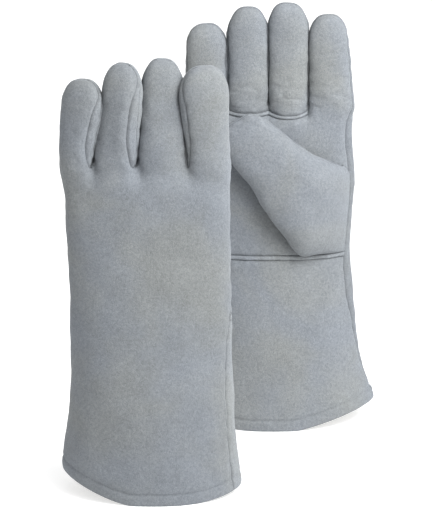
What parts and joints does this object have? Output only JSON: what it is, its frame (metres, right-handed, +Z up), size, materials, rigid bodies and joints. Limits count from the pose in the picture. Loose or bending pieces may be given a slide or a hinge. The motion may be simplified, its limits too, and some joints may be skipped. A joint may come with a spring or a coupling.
{
  "type": "pair of leather welding gauntlets",
  "caption": "Pair of grey split-leather gauntlets with long flared cuffs, seamed fingers and a wing thumb, standing on their open cuffs; they keep heat and sparks off the hands and forearms.",
  "frame": {"origin": "centre of the bounding box's bottom, between the two open cuffs", "axes": "+Z up from the cuffs to the fingertips; +X from the left glove to the right glove across the hands; +Y from the left glove, which stands in front with its back outwards, to the right glove behind it"},
  "size_m": [0.2516, 0.277, 0.35],
  "materials": {
    "leather": "matte suede",
    "welt": "matte suede edge",
    "lining": "brushed fleece"
  },
  "bodies": {
    "right_hand": {"right_back": "leather", "right_palm": "leather", "right_thumb_root": "leather", "right_cuff_palm_panel": "leather", "right_cuff_welt": "welt", "right_lining_cuff": "lining", "right_lining_hand": "lining"},
    "right_fingers": {"right_back_fingers": "leather", "right_finger_welt": "welt", "right_front_index": "leather", "right_front_middle": "leather", "right_front_little": "leather", "right_fourchette_little": "leather", "right_fourchette_ring": "leather", "right_fourchette_middle": "leather", "right_lining_fingers": "lining"},
    "right_thumb": {"right_thumb_outer": "leather", "right_thumb_inner": "leather", "right_lining_thumb": "lining"},
    "left_hand": {"left_back": "leather", "left_palm": "leather", "left_thumb_root": "leather", "left_cuff_palm_panel": "leather", "left_cuff_welt": "welt", "left_lining_cuff": "lining", "left_lining_hand": "lining"},
    "left_fingers": {"left_back_fingers": "leather", "left_finger_welt": "welt", "left_front_index": "leather", "left_front_middle": "leather", "left_front_little": "leather", "left_fourchette_little": "leather", "left_fourchette_ring": "leather", "left_fourchette_middle": "leather", "left_lining_fingers": "lining"},
    "left_thumb": {"left_thumb_outer": "leather", "left_thumb_inner": "leather", "left_lining_thumb": "lining"}
  },
  "joints": [
    {"name": "left_glove_lift", "type": "slide", "parent": "right_hand", "child": "left_hand", "axis": [0, 0, 1], "range_m": [0, 0.4]},
    {"name": "left_finger_curl", "type": "hinge", "parent": "left_hand", "child": "left_fingers", "pos_m": [-0.057, -0.07565, 0.26], "axis": [-1, 0, 0], "range_deg": [0, 50]},
    {"name": "left_thumb_lift", "type": "hinge", "parent": "left_hand", "child": "left_thumb", "pos_m": [-0.03025, -0.04758, 0.2013], "axis": [-0.7495, 0, -0.662], "range_deg": [0, 60]},
    {"name": "right_finger_curl", "type": "hinge", "parent": "right_hand", "child": "right_fingers", "pos_m": [0.039, 0.07866, 0.26], "axis": [1, 0, 0], "range_deg": [0, 50]},
    {"name": "right_thumb_lift", "type": "hinge", "parent": "right_hand", "child": "right_thumb", "pos_m": [0.06575, 0.05047, 0.2013], "axis": [0.7495, 0, 0.662], "range_deg": [0, 60]}
  ]
}
